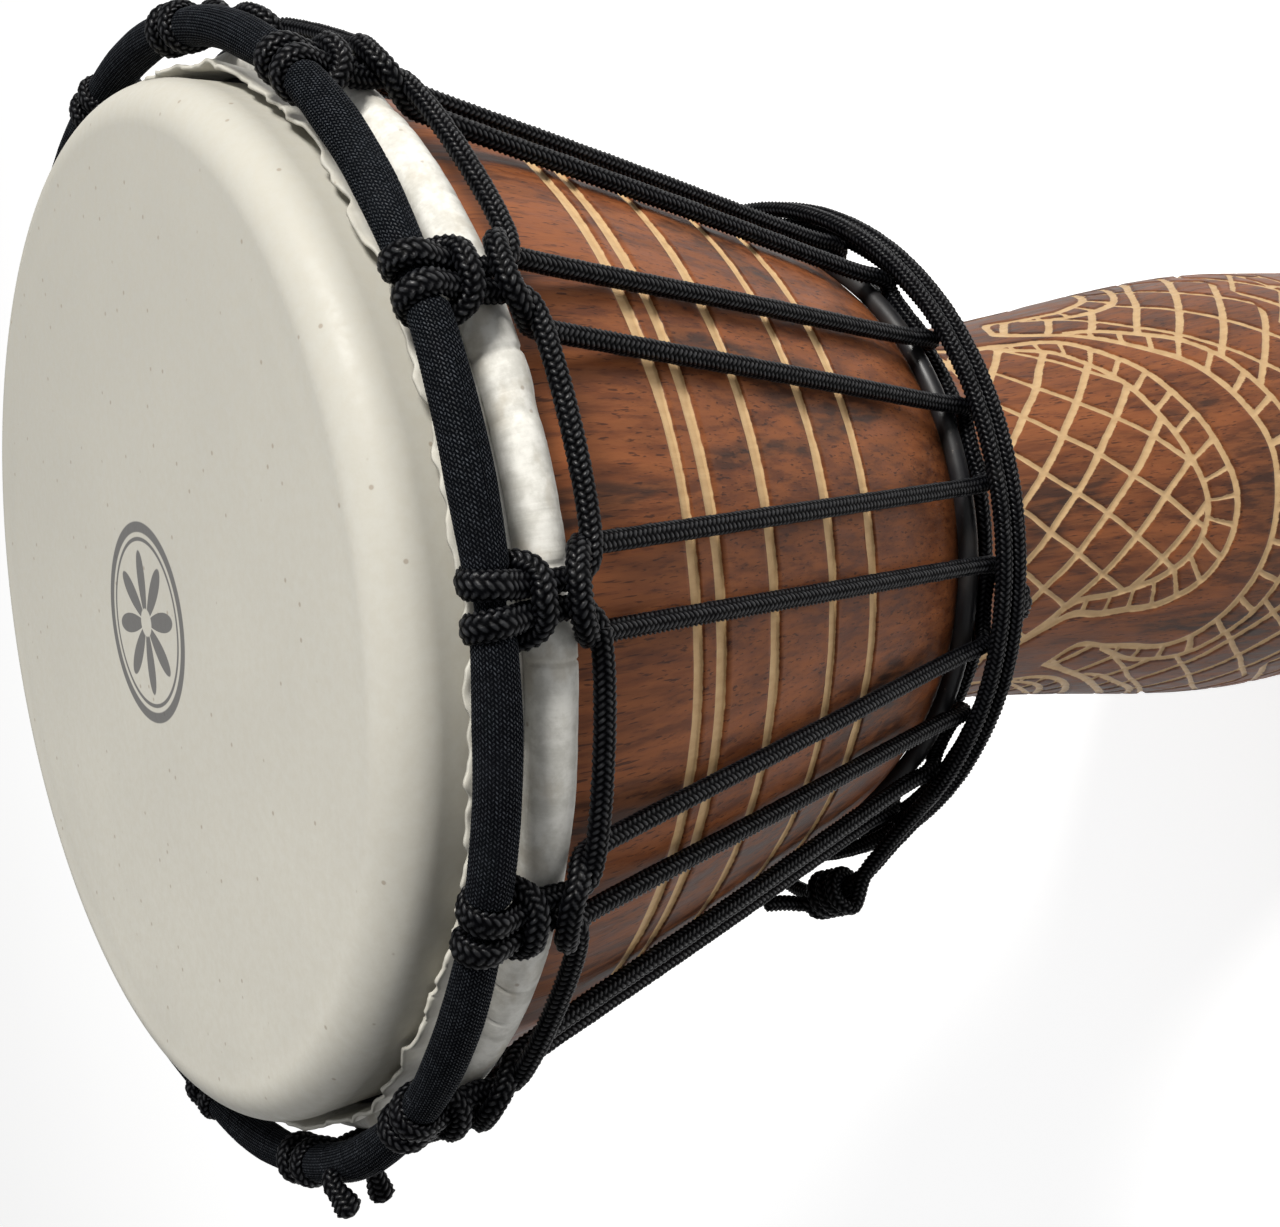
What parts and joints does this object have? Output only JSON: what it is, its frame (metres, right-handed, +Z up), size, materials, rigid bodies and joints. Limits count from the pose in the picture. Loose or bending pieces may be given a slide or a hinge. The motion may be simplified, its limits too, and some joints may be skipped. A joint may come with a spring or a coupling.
{
  "type": "djembe",
  "caption": "Goblet-shaped wooden hand drum: carved shell, goatskin head folded on a hoop, crown and bottom rings, and rope hitches and lacing that tension the head.",
  "frame": {"origin": "centre of the foot's lower rim, on the surface the drum stands on", "axes": "+Z up the drum's axis from the foot to the head; +X through the first crown hitch"},
  "size_m": [0.2738, 0.2726, 0.5],
  "materials": {
    "wood": "satin",
    "goatskin": "satin",
    "ring_steel": "satin",
    "sleeve_cloth": "matte",
    "rope": "satin"
  },
  "bodies": {
    "root": {"shell": "wood", "drumhead_skin": "goatskin", "flesh_hoop": "ring_steel", "crown_ring": "ring_steel", "crown_ring_sleeve": "sleeve_cloth", "bottom_ring": "ring_steel", "waist_turn_upper": "rope", "waist_turn_lower": "rope", "waist_turn_inner": "rope", "waist_turn_lowest": "rope", "tie_off_knot": "rope", "tie_off_tail": "rope", "crown_rope_end_knot": "rope", "lacing_start_knot": "rope", "crown_hitch_1": "rope", "crown_hitch_2": "rope", "crown_hitch_3": "rope", "crown_hitch_4": "rope", "crown_hitch_5": "rope", "crown_hitch_6": "rope", "crown_hitch_7": "rope", "crown_hitch_8": "rope", "crown_hitch_9": "rope", "crown_hitch_10": "rope", "crown_hitch_11": "rope", "crown_hitch_12": "rope", "crown_hitch_13": "rope", "crown_hitch_14": "rope", "cradle_span_1": "rope", "cradle_span_2": "rope", "cradle_span_3": "rope", "cradle_span_4": "rope", "cradle_span_5": "rope", "cradle_span_6": "rope", "cradle_span_7": "rope", "cradle_span_8": "rope", "cradle_span_9": "rope", "cradle_span_10": "rope", "cradle_span_11": "rope", "cradle_span_12": "rope", "cradle_span_13": "rope", "cradle_span_14": "rope", "lacing_run_1": "rope", "lacing_run_2": "rope", "lacing_run_3": "rope", "lacing_run_4": "rope", "lacing_run_5": "rope", "lacing_run_6": "rope", "lacing_run_7": "rope", "lacing_run_8": "rope", "lacing_run_9": "rope", "lacing_run_10": "rope", "lacing_run_11": "rope", "lacing_run_12": "rope", "lacing_run_13": "rope", "lacing_run_14": "rope"}
  },
  "joints": []
}
